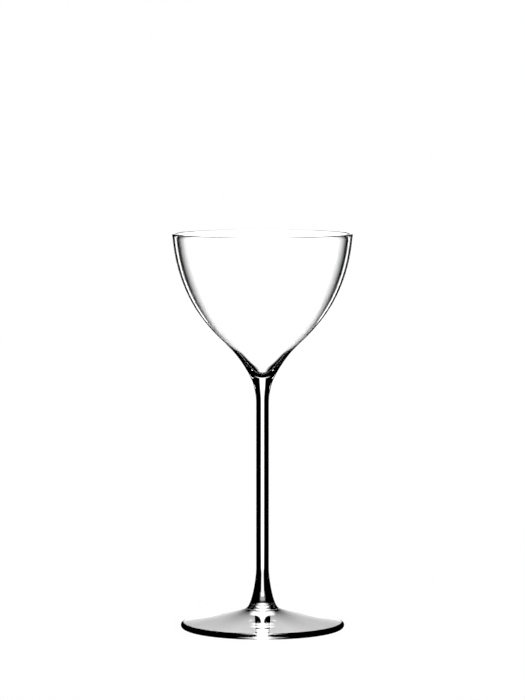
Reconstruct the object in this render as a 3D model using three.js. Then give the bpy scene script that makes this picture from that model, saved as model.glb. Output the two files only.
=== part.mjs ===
// A clear stemmed cocktail glass: bowl, stem and foot, three gathers of glass joined hot on flat faces.
// Millimetres, +Z up, standing on Z = 0 with its axis on Z.
import * as THREE from "three";
import { mergeVertices } from "three/addons/utils/BufferGeometryUtils.js";

// Overall
const TOTAL_HEIGHT = 170;
const FACETS_ROUND = 60;

// Bowl, outside
const RIM_RADIUS = 38.65;
const RIM_LEAN = 4.2; // degrees the wall leans in just under the lip
const BELLY_PULL = 29.8; // how far the lip's direction carries down the belly
const WAIST_RADIUS = 13.15; // where the belly turns into the hollow flare
const WAIST_HEIGHT = 120;
const WAIST_SLOPE = 44.4; // degrees off the axis
const WAIST_PULL_UP = 9.9;
const WAIST_PULL_DOWN = 4.7;

// Bowl, inside
const RIM_WALL = 1.1;
const WAIST_WALL = 1.06; // measured level
const INNER_SLOPE = 46.4; // degrees off the axis at the waist
const INNER_FLOOR_HEIGHT = 108.8;
const INNER_WAIST_PULL_UP = 7.7;
const INNER_WAIST_PULL_DOWN = 7.2;
const INNER_FLOOR_PULL = 3.75; // roundness of the inner tip

// Joint of bowl and stem
const BOWL_JOINT_RADIUS = 4.16;
const BOWL_JOINT_HEIGHT = 106;
const BOWL_JOINT_SLOPE = 19.5; // degrees off the axis
const BOWL_JOINT_PULL_UP = 4.1;
const BOWL_JOINT_PULL_DOWN = 1.8;

// Stem
const STEM_RADIUS = 2.72;
const STEM_TOP_HEIGHT = 97.5; // end of the straight part
const STEM_TOP_PULL = 2.9;
const STEM_BOTTOM_HEIGHT = 26; // other end of the straight part
const STEM_BOTTOM_PULL = 4;

// Joint of stem and foot
const FOOT_JOINT_RADIUS = 7.1;
const FOOT_JOINT_HEIGHT = 8.6;
const FOOT_JOINT_SLOPE = 68; // degrees off the axis
const FOOT_JOINT_PULL_UP = 2.85;
const FOOT_JOINT_PULL_OUT = 6.7;

// Foot
const FOOT_RADIUS = 35.2;
const FOOT_EDGE_FALL = 8.7; // degrees the top falls outward at the edge
const FOOT_TOP_PULL = 5;
const EDGE_HEIGHT = 2.8;
const EDGE_BULGE = 1.6;
const BEARING_WIDTH = 7; // flat ring that stands on the table
const HOLLOW_DEPTH = 0.9; // rise of the underside at the axis

// Divisions of each curve
const BELLY_STEPS = 11;
const FLARE_STEPS = 5;
const LIP_STEPS = 4;
const FLOOR_STEPS = 6;
const EDGE_STEPS = 6;
const TOP_STEPS = 4;
const HOLLOW_STEPS = 3;

const point = (radius, height) => new THREE.Vector2(radius, height);

// A step of the given length from a point, up and outward at an angle off the axis.
function along(from, length, degrees) {
  const angle = THREE.MathUtils.degToRad(degrees);
  return point(
    from.x + length * Math.sin(angle),
    from.y + length * Math.cos(angle),
  );
}

function curve(from, fromPull, toPull, to, steps) {
  return new THREE.CubicBezierCurve(from, fromPull, toPull, to).getPoints(steps);
}

function arc(middle, radiusX, radiusY, startAngle, endAngle, steps) {
  return new THREE.EllipseCurve(
    middle.x,
    middle.y,
    radiusX,
    radiusY,
    startAngle,
    endAngle,
  ).getPoints(steps);
}

const glass = (color) =>
  new THREE.MeshStandardMaterial({
    color,
    roughness: 0.03,
    metalness: 0,
    transparent: true,
    opacity: 0.3,
  });

// Turns a profile that starts and ends on the axis into a closed body about Z.
function turned(name, profile, color) {
  const outline = profile.filter(
    (p, i) => i === 0 || p.distanceTo(profile[i - 1]) > 1e-6,
  );
  const lathe = new THREE.LatheGeometry(outline, FACETS_ROUND);
  lathe.deleteAttribute("normal");
  lathe.deleteAttribute("uv");
  lathe.rotateX(Math.PI / 2);
  const geometry = mergeVertices(lathe, 1e-4);
  geometry.computeVertexNormals();
  const mesh = new THREE.Mesh(geometry, glass(color));
  mesh.name = name;
  return mesh;
}

// Points shared by neighbouring pieces
const bowlJoint = point(BOWL_JOINT_RADIUS, BOWL_JOINT_HEIGHT);
const edgeMiddle = point(FOOT_RADIUS - EDGE_BULGE, EDGE_HEIGHT / 2);
const footFall = Math.tan(THREE.MathUtils.degToRad(FOOT_EDGE_FALL));
// The rounded edge ends where its own slope is that of the foot's top.
const edgeEnd = Math.atan2(EDGE_HEIGHT / 2, EDGE_BULGE * footFall);
const shoulder = point(
  edgeMiddle.x + EDGE_BULGE * Math.cos(edgeEnd),
  edgeMiddle.y + (EDGE_HEIGHT / 2) * Math.sin(edgeEnd),
);
const footJoint = point(FOOT_JOINT_RADIUS, FOOT_JOINT_HEIGHT);

// Bowl
const lipRadius = RIM_WALL / 2;
const lipMiddle = point(RIM_RADIUS - lipRadius, TOTAL_HEIGHT - lipRadius);
const lipOutside = point(RIM_RADIUS, lipMiddle.y);
const lipInside = point(RIM_RADIUS - RIM_WALL, lipMiddle.y);
const waist = point(WAIST_RADIUS, WAIST_HEIGHT);
const innerWaist = point(WAIST_RADIUS - WAIST_WALL, WAIST_HEIGHT);
const innerFloor = point(0, INNER_FLOOR_HEIGHT);
const bowl = turned(
  "bowl",
  [
    point(0, BOWL_JOINT_HEIGHT),
    ...curve(
      bowlJoint,
      along(bowlJoint, BOWL_JOINT_PULL_UP, BOWL_JOINT_SLOPE),
      along(waist, -WAIST_PULL_DOWN, WAIST_SLOPE),
      waist,
      FLARE_STEPS,
    ),
    ...curve(
      waist,
      along(waist, WAIST_PULL_UP, WAIST_SLOPE),
      along(lipOutside, -BELLY_PULL, RIM_LEAN),
      lipOutside,
      BELLY_STEPS,
    ),
    ...arc(lipMiddle, lipRadius, lipRadius, 0, Math.PI, LIP_STEPS),
    ...curve(
      lipInside,
      along(lipInside, -BELLY_PULL, RIM_LEAN),
      along(innerWaist, INNER_WAIST_PULL_UP, INNER_SLOPE),
      innerWaist,
      BELLY_STEPS,
    ),
    ...curve(
      innerWaist,
      along(innerWaist, -INNER_WAIST_PULL_DOWN, INNER_SLOPE),
      point(INNER_FLOOR_PULL, INNER_FLOOR_HEIGHT),
      innerFloor,
      FLOOR_STEPS,
    ),
  ],
  "#f3f6f6",
);

// Stem
const stemTop = point(STEM_RADIUS, STEM_TOP_HEIGHT);
const stemBottom = point(STEM_RADIUS, STEM_BOTTOM_HEIGHT);
const stem = turned(
  "stem",
  [
    point(0, footJoint.y),
    ...curve(
      footJoint,
      along(footJoint, FOOT_JOINT_PULL_UP, -FOOT_JOINT_SLOPE),
      along(stemBottom, -STEM_BOTTOM_PULL, 0),
      stemBottom,
      FLARE_STEPS + 2,
    ),
    ...curve(
      stemTop,
      along(stemTop, STEM_TOP_PULL, 0),
      along(bowlJoint, -BOWL_JOINT_PULL_DOWN, BOWL_JOINT_SLOPE),
      bowlJoint,
      FLARE_STEPS,
    ),
    point(0, BOWL_JOINT_HEIGHT),
  ],
  "#f1f4f5",
);

// Foot: hollowed a little underneath, so that it stands on a flat ring by its edge
const bearingOuter = edgeMiddle.x;
const bearingInner = bearingOuter - BEARING_WIDTH;
const foot = turned(
  "foot",
  [
    ...curve(
      point(0, HOLLOW_DEPTH),
      point(bearingInner / 2, HOLLOW_DEPTH),
      point(bearingInner * 0.8, HOLLOW_DEPTH / 4),
      point(bearingInner, 0),
      HOLLOW_STEPS,
    ),
    ...arc(edgeMiddle, EDGE_BULGE, EDGE_HEIGHT / 2, -Math.PI / 2, edgeEnd, EDGE_STEPS),
    ...curve(
      shoulder,
      along(shoulder, FOOT_TOP_PULL, FOOT_EDGE_FALL - 90),
      along(footJoint, -FOOT_JOINT_PULL_OUT, -FOOT_JOINT_SLOPE),
      footJoint,
      TOP_STEPS,
    ),
    point(0, footJoint.y),
  ],
  "#eef2f3",
);

const part = new THREE.Group();
part.add(bowl, stem, foot);

export default part;
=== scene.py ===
# A clear stemmed cocktail glass on a white table, lit from behind so that its edges read dark.
import math

import bmesh
import bpy
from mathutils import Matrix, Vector
from mathutils.geometry import interpolate_bezier


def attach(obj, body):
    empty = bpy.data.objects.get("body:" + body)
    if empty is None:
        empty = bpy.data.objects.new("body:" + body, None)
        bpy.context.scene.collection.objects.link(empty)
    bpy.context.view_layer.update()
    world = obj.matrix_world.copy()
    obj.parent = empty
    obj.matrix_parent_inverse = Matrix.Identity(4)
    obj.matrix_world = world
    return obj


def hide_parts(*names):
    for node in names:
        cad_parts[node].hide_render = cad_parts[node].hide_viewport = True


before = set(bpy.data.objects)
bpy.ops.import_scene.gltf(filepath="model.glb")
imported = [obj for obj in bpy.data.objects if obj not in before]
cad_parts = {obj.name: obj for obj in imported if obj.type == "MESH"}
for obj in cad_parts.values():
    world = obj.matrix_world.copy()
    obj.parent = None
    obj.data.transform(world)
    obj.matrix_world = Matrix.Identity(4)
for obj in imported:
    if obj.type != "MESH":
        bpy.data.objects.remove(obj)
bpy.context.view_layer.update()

MM = 0.001

# Sizes in millimetres, as in the part's source. Slopes are degrees off the axis.
TOTAL_HEIGHT = 170

# Bowl, outside
RIM_RADIUS = 38.65
RIM_LEAN = 4.2
BELLY_PULL = 29.8
WAIST_RADIUS = 13.15
WAIST_HEIGHT = 120
WAIST_SLOPE = 44.4
WAIST_PULL_UP = 9.9
WAIST_PULL_DOWN = 4.7

# Bowl, inside
RIM_WALL = 1.1
WAIST_WALL = 1.06
INNER_SLOPE = 46.4
INNER_FLOOR_HEIGHT = 108.8
INNER_WAIST_PULL_UP = 7.7
INNER_WAIST_PULL_DOWN = 7.2
INNER_FLOOR_PULL = 3.75

# Joint of bowl and stem
BOWL_JOINT_RADIUS = 4.16
BOWL_JOINT_HEIGHT = 106
BOWL_JOINT_SLOPE = 19.5
BOWL_JOINT_PULL_UP = 4.1
BOWL_JOINT_PULL_DOWN = 1.8

# Stem
STEM_RADIUS = 2.72
STEM_TOP_HEIGHT = 97.5
STEM_TOP_PULL = 2.9
STEM_BOTTOM_HEIGHT = 26
STEM_BOTTOM_PULL = 4

# Joint of stem and foot
FOOT_JOINT_RADIUS = 7.1
FOOT_JOINT_HEIGHT = 8.6
FOOT_JOINT_SLOPE = 68
FOOT_JOINT_PULL_UP = 2.85
FOOT_JOINT_PULL_OUT = 6.7

# Foot
FOOT_RADIUS = 35.2
FOOT_EDGE_FALL = 8.7
FOOT_TOP_PULL = 5
EDGE_HEIGHT = 2.8
EDGE_BULGE = 1.6
BEARING_WIDTH = 7
HOLLOW_DEPTH = 0.9

# Divisions of the smooth shapes
STEPS_ROUND = 180
CURVE_STEPS = 36
LIP_STEPS = 14

# Camera
LENS = 185.99
CAMERA_BACK = 1545
CAMERA_HEIGHT = 239
CAMERA_DOWN = 4.404

# Studio: heights are above and below STUDIO_HEIGHT, square to the camera's view
STUDIO_HEIGHT = 120
PANEL_BEHIND = 673
PANEL_HALF_WIDTH = 102
PANEL_LOW_HALF_WIDTH = 55
PANEL_NARROW_FROM = -120
PANEL_NARROW_TO = -200
PANEL_LOW = -600
PANEL_TOP = 3000
PANEL_SOFT = 60
PANEL_TOP_SOFT = 110
PANEL_SOFT_FROM = 50
PANEL_SOFT_TO = 150
PANEL_STRENGTH = 1.6
PANEL_TOP_STRENGTH = 3.2
PANEL_RISE_FROM = 20
PANEL_RISE_TO = 190
BOOTH_HALF_WIDTH = 1000
BOOTH_DEPTH = 800
BOOTH_ROOM = 100
STRIP_BEHIND = 35
STRIP_OUT = 24
STRIP_WIDTH = 7
STRIP_STRENGTH = 2.4
FLOOR_SIZE = 12000
FLOOR_GAP = 0.05


def point(radius, height):
    return Vector((radius, height))


def along(start, length, degrees):
    angle = math.radians(degrees)
    return start + length * Vector((math.sin(angle), math.cos(angle)))


def curve(start, start_pull, end_pull, end, steps=CURVE_STEPS):
    return interpolate_bezier(start, start_pull, end_pull, end, steps + 1)


def arc(middle, radius_x, radius_y, start_angle, end_angle, steps):
    sweep = (end_angle - start_angle) / steps
    angles = [start_angle + sweep * i for i in range(steps + 1)]
    return [middle + Vector((radius_x * math.cos(a), radius_y * math.sin(a))) for a in angles]


def linear(hex_colour):
    channels = [int(hex_colour[i:i + 2], 16) / 255 for i in (0, 2, 4)]
    return [c / 12.92 if c <= 0.04045 else ((c + 0.055) / 1.055) ** 2.4 for c in channels] + [1]


# Adds one node, sets its properties and unlinked inputs, and links the others.
def add(tree, kind, settings=None, inputs=None):
    node = tree.nodes.new(kind)
    for name, value in (settings or {}).items():
        setattr(node, name, value)
    for name, value in (inputs or {}).items():
        if isinstance(value, bpy.types.NodeSocket):
            tree.links.new(value, node.inputs[name])
        else:
            node.inputs[name].default_value = value
    return node


def new_material(name):
    material = bpy.data.materials.new(name)
    material.use_nodes = True
    material.node_tree.nodes.clear()
    return material, material.node_tree


# Blown soda-lime glass, fire polished: clear, with a very slow waviness and a trace of handling.
def blown_glass():
    material, tree = new_material("blown_soda_lime_glass")
    place = add(tree, "ShaderNodeTexCoord").outputs["Object"]
    wave_size = 14 * MM
    wave = add(tree, "ShaderNodeTexNoise", None, {"Vector": place, "Scale": 1 / wave_size, "Detail": 1})
    bump = add(tree, "ShaderNodeBump", None,
               {"Strength": 0.005, "Distance": 0.2 * MM, "Height": wave.outputs["Fac"]})
    trace_size = 6 * MM
    trace = add(tree, "ShaderNodeTexNoise", None, {"Vector": place, "Scale": 1 / trace_size, "Detail": 4})
    rough = add(tree, "ShaderNodeMapRange", None,
                {"Value": trace.outputs["Fac"], "From Min": 0.55, "From Max": 0.8,
                 "To Min": 0, "To Max": 0.01})
    shader = add(tree, "ShaderNodeBsdfPrincipled", None,
                 {"Base Color": linear("FFFFFF"), "Roughness": rough.outputs["Result"], "IOR": 1.5,
                  "Transmission Weight": 1, "Normal": bump.outputs["Normal"]})
    add(tree, "ShaderNodeOutputMaterial", None, {"Surface": shader.outputs["BSDF"]})
    return material


# Where two gathers of glass are fused there is no surface to see.
def fused_joint():
    material, tree = new_material("fused_joint")
    shader = add(tree, "ShaderNodeBsdfTransparent", None, {"Color": linear("FFFFFF")})
    add(tree, "ShaderNodeOutputMaterial", None, {"Surface": shader.outputs["BSDF"]})
    return material


# Turns a profile that starts and ends on the axis into a closed piece, with its flat joint faces marked.
def turned(name, outline, joint_heights, node):
    bm = bmesh.new()
    corners = []
    for p in outline:
        place = Vector((p.x * MM, 0, p.y * MM))
        if not corners or (corners[-1].co - place).length > 1e-8:
            corners.append(bm.verts.new(place))
    sides = [bm.edges.new(pair) for pair in zip(corners, corners[1:])]
    bmesh.ops.spin(bm, geom=corners + sides, cent=(0, 0, 0), axis=(0, 0, 1), angle=math.tau,
                   steps=STEPS_ROUND, use_merge=True)
    bmesh.ops.remove_doubles(bm, verts=bm.verts, dist=1e-7)
    bmesh.ops.recalc_face_normals(bm, faces=bm.faces)
    for face in bm.faces:
        face.smooth = True
        for height in joint_heights:
            if all(abs(v.co.z - height * MM) < 1e-6 for v in face.verts):
                face.material_index = 1
    mesh = bpy.data.meshes.new(name)
    bm.to_mesh(mesh)
    bm.free()
    mesh.set_sharp_from_angle(angle=math.radians(50))
    piece = bpy.data.objects.new(name, mesh)
    bpy.context.scene.collection.objects.link(piece)
    mesh.materials.append(glass)
    mesh.materials.append(joint)
    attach(piece, "root")
    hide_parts(node)
    return piece


glass = blown_glass()
joint = fused_joint()

# Points shared by neighbouring pieces
bowl_joint = point(BOWL_JOINT_RADIUS, BOWL_JOINT_HEIGHT)
edge_middle = point(FOOT_RADIUS - EDGE_BULGE, EDGE_HEIGHT / 2)
# The rounded edge ends where its own slope is that of the foot's top.
edge_end = math.atan2(EDGE_HEIGHT / 2, EDGE_BULGE * math.tan(math.radians(FOOT_EDGE_FALL)))
shoulder = edge_middle + Vector((EDGE_BULGE * math.cos(edge_end), EDGE_HEIGHT / 2 * math.sin(edge_end)))
foot_joint = point(FOOT_JOINT_RADIUS, FOOT_JOINT_HEIGHT)

# Bowl
lip_radius = RIM_WALL / 2
lip_middle = point(RIM_RADIUS - lip_radius, TOTAL_HEIGHT - lip_radius)
lip_outside = point(RIM_RADIUS, lip_middle.y)
lip_inside = point(RIM_RADIUS - RIM_WALL, lip_middle.y)
waist = point(WAIST_RADIUS, WAIST_HEIGHT)
inner_waist = point(WAIST_RADIUS - WAIST_WALL, WAIST_HEIGHT)
inner_floor = point(0, INNER_FLOOR_HEIGHT)
belly = curve(waist, along(waist, WAIST_PULL_UP, WAIST_SLOPE),
              along(lip_outside, -BELLY_PULL, RIM_LEAN), lip_outside, 2 * CURVE_STEPS)
turned("clear_bowl", [
    point(0, BOWL_JOINT_HEIGHT),
    *curve(bowl_joint, along(bowl_joint, BOWL_JOINT_PULL_UP, BOWL_JOINT_SLOPE),
           along(waist, -WAIST_PULL_DOWN, WAIST_SLOPE), waist),
    *belly,
    *arc(lip_middle, lip_radius, lip_radius, 0, math.pi, LIP_STEPS),
    *curve(lip_inside, along(lip_inside, -BELLY_PULL, RIM_LEAN),
           along(inner_waist, INNER_WAIST_PULL_UP, INNER_SLOPE), inner_waist, 2 * CURVE_STEPS),
    *curve(inner_waist, along(inner_waist, -INNER_WAIST_PULL_DOWN, INNER_SLOPE),
           point(INNER_FLOOR_PULL, INNER_FLOOR_HEIGHT), inner_floor),
], [BOWL_JOINT_HEIGHT], "bowl")

# Stem
stem_top = point(STEM_RADIUS, STEM_TOP_HEIGHT)
stem_bottom = point(STEM_RADIUS, STEM_BOTTOM_HEIGHT)
turned("clear_stem", [
    point(0, foot_joint.y),
    *curve(foot_joint, along(foot_joint, FOOT_JOINT_PULL_UP, -FOOT_JOINT_SLOPE),
           along(stem_bottom, -STEM_BOTTOM_PULL, 0), stem_bottom),
    *curve(stem_top, along(stem_top, STEM_TOP_PULL, 0),
           along(bowl_joint, -BOWL_JOINT_PULL_DOWN, BOWL_JOINT_SLOPE), bowl_joint),
    point(0, BOWL_JOINT_HEIGHT),
], [foot_joint.y, BOWL_JOINT_HEIGHT], "stem")

# Foot
hollow_radius = edge_middle.x - BEARING_WIDTH
hollow_top = point(0, HOLLOW_DEPTH)
turned("clear_foot", [
    *curve(hollow_top, point(hollow_radius / 2, HOLLOW_DEPTH),
           point(hollow_radius * 0.8, HOLLOW_DEPTH / 4), point(hollow_radius, 0)),
    *arc(edge_middle, EDGE_BULGE, EDGE_HEIGHT / 2, -math.pi / 2, edge_end, CURVE_STEPS),
    *curve(shoulder, along(shoulder, FOOT_TOP_PULL, FOOT_EDGE_FALL - 90),
           along(foot_joint, -FOOT_JOINT_PULL_OUT, -FOOT_JOINT_SLOPE), foot_joint, 2 * CURVE_STEPS),
    point(0, foot_joint.y),
], [foot_joint.y], "foot")

# Camera at the photograph's place
scene = bpy.context.scene
camera_data = bpy.data.cameras.new("camera")
camera_data.lens = LENS
camera_data.clip_end = 100
camera = bpy.data.objects.new("camera", camera_data)
camera.location = (0, -CAMERA_BACK * MM, CAMERA_HEIGHT * MM)
camera.rotation_euler = (math.radians(90 - CAMERA_DOWN), 0, 0)
scene.collection.objects.link(camera)
scene.camera = camera

# The studio stands round the bowl and turns with the camera, as when a glass is turned before fixed lights.
studio = bpy.data.objects.new("studio", None)
studio.location = (0, 0, STUDIO_HEIGHT * MM)
scene.collection.objects.link(studio)
turn = studio.constraints.new("COPY_ROTATION")
turn.target = camera


# A stage piece that is seen only in and through the glass.
def studio_card(name, bm, material):
    mesh = bpy.data.meshes.new(name)
    bm.to_mesh(mesh)
    bm.free()
    mesh.materials.append(material)
    card = bpy.data.objects.new(name, mesh)
    scene.collection.objects.link(card)
    card.parent = studio
    card.visible_camera = False
    card.visible_diffuse = False
    card.visible_shadow = False


# Black felt gives the glass its dark edges. Light that has met the floor finds it white,
# so the floor stays white.
def black_felt():
    material, tree = new_material("black_felt")
    path = add(tree, "ShaderNodeLightPath")
    lit = add(tree, "ShaderNodeMath", {"operation": "MINIMUM"},
              {0: path.outputs["Diffuse Depth"], 1: 1})
    shader = add(tree, "ShaderNodeEmission", None, {"Strength": lit.outputs["Value"]})
    add(tree, "ShaderNodeOutputMaterial", None, {"Surface": shader.outputs["Emission"]})
    material.cycles.emission_sampling = "NONE"
    return material


# Lit cloth, seen through the glass as white. It is narrower low down and brighter high up,
# and its sides fade.
def lit_panel():
    material, tree = new_material("lit_panel")
    place = add(tree, "ShaderNodeTexCoord").outputs["Object"]
    axes = add(tree, "ShaderNodeSeparateXYZ", None, {"Vector": place})
    aside = add(tree, "ShaderNodeMath", {"operation": "ABSOLUTE"}, {0: axes.outputs["X"]})
    reach = add(tree, "ShaderNodeMapRange", None,
                {"Value": axes.outputs["Y"],
                 "From Min": PANEL_NARROW_TO * MM, "From Max": PANEL_NARROW_FROM * MM,
                 "To Min": PANEL_LOW_HALF_WIDTH * MM, "To Max": PANEL_HALF_WIDTH * MM})
    inside = add(tree, "ShaderNodeMath", {"operation": "SUBTRACT"},
                 {0: reach.outputs["Result"], 1: aside.outputs["Value"]})
    soft = add(tree, "ShaderNodeMapRange", None,
               {"Value": axes.outputs["Y"],
                "From Min": PANEL_SOFT_FROM * MM, "From Max": PANEL_SOFT_TO * MM,
                "To Min": PANEL_SOFT * MM, "To Max": PANEL_TOP_SOFT * MM})
    step = add(tree, "ShaderNodeMath", {"operation": "DIVIDE"},
               {0: inside.outputs["Value"], 1: soft.outputs["Result"]})
    fade = add(tree, "ShaderNodeMath", {"operation": "ADD", "use_clamp": True},
               {0: step.outputs["Value"], 1: 0.5})
    rise = add(tree, "ShaderNodeMapRange", None,
               {"Value": axes.outputs["Y"],
                "From Min": PANEL_RISE_FROM * MM, "From Max": PANEL_RISE_TO * MM,
                "To Min": PANEL_STRENGTH, "To Max": PANEL_TOP_STRENGTH})
    strength = add(tree, "ShaderNodeMath", {"operation": "MULTIPLY"},
                   {0: fade.outputs["Value"], 1: rise.outputs["Result"]})
    shader = add(tree, "ShaderNodeEmission", None, {"Strength": strength.outputs["Value"]})
    add(tree, "ShaderNodeOutputMaterial", None, {"Surface": shader.outputs["Emission"]})
    material.cycles.emission_sampling = "NONE"
    return material


# Lit strips draw the white line inside the bowl's dark edge.
def lit_strip():
    material, tree = new_material("lit_strip")
    shader = add(tree, "ShaderNodeEmission", None, {"Strength": STRIP_STRENGTH})
    add(tree, "ShaderNodeOutputMaterial", None, {"Surface": shader.outputs["Emission"]})
    material.cycles.emission_sampling = "NONE"
    return material


# Black booth round camera and glass, and a tall lit panel behind
booth = bmesh.new()
bmesh.ops.create_cube(booth, size=1)
booth_front = 2 * CAMERA_BACK
booth_length = booth_front + BOOTH_DEPTH
booth_height = PANEL_TOP - PANEL_LOW + 2 * BOOTH_ROOM
bmesh.ops.scale(booth, verts=booth.verts,
                vec=(2 * BOOTH_HALF_WIDTH * MM, booth_height * MM, booth_length * MM))
bmesh.ops.translate(booth, verts=booth.verts,
                    vec=(0, (PANEL_LOW + PANEL_TOP) / 2 * MM, (booth_front - BOOTH_DEPTH) / 2 * MM))
studio_card("black_booth", booth, black_felt())
panel = bmesh.new()
bmesh.ops.create_grid(panel, x_segments=1, y_segments=1, size=0.5)
bmesh.ops.scale(panel, verts=panel.verts,
                vec=((2 * PANEL_HALF_WIDTH + PANEL_TOP_SOFT) * MM, (PANEL_TOP - PANEL_LOW) * MM, 1))
bmesh.ops.translate(panel, verts=panel.verts,
                    vec=(0, (PANEL_LOW + PANEL_TOP) / 2 * MM, -PANEL_BEHIND * MM))
studio_card("lit_panel", panel, lit_panel())

# Two narrow lit strips that follow the sides of the bowl, close behind it
strip_material = lit_strip()
for name, side in (("lit_strip_left", -1), ("lit_strip_right", 1)):
    strip = bmesh.new()
    rows = []
    for p in belly[::6]:
        height = (p.y - STUDIO_HEIGHT) * MM
        reaches = [side * (p.x + STRIP_OUT) * MM, side * (p.x + STRIP_OUT + STRIP_WIDTH) * MM]
        rows.append([strip.verts.new((x, height, -STRIP_BEHIND * MM)) for x in reaches])
    for low, high in zip(rows, rows[1:]):
        strip.faces.new((*low, *reversed(high)))
    studio_card(name, strip, strip_material)

# White table, which shows the glass's shadow and is hidden from rays in and through the glass
floor_bm = bmesh.new()
bmesh.ops.create_grid(floor_bm, x_segments=1, y_segments=1, size=FLOOR_SIZE / 2 * MM)
bmesh.ops.translate(floor_bm, verts=floor_bm.verts, vec=(0, 0, -FLOOR_GAP * MM))
floor_mesh = bpy.data.meshes.new("floor")
floor_bm.to_mesh(floor_mesh)
floor_bm.free()
floor_material, floor_tree = new_material("white_table")
floor_shader = add(floor_tree, "ShaderNodeBsdfDiffuse", None, {"Color": linear("FFFFFF")})
add(floor_tree, "ShaderNodeOutputMaterial", None, {"Surface": floor_shader.outputs["BSDF"]})
floor_mesh.materials.append(floor_material)
floor = bpy.data.objects.new("floor", floor_mesh)
floor.visible_glossy = False
floor.visible_transmission = False
scene.collection.objects.link(floor)

# Plain white surroundings
world = bpy.data.worlds.new("white_room")
world.use_nodes = True
world.node_tree.nodes.clear()
sky = add(world.node_tree, "ShaderNodeBackground", None, {"Color": linear("FFFFFF"), "Strength": 1})
add(world.node_tree, "ShaderNodeOutputWorld", None, {"Surface": sky.outputs["Background"]})
scene.world = world
scene.view_settings.view_transform = "Standard"
scene.cycles.max_bounces = 32
scene.cycles.transmission_bounces = 32
scene.cycles.glossy_bounces = 16
scene.cycles.transparent_max_bounces = 16
scene.cycles.blur_glossy = 0
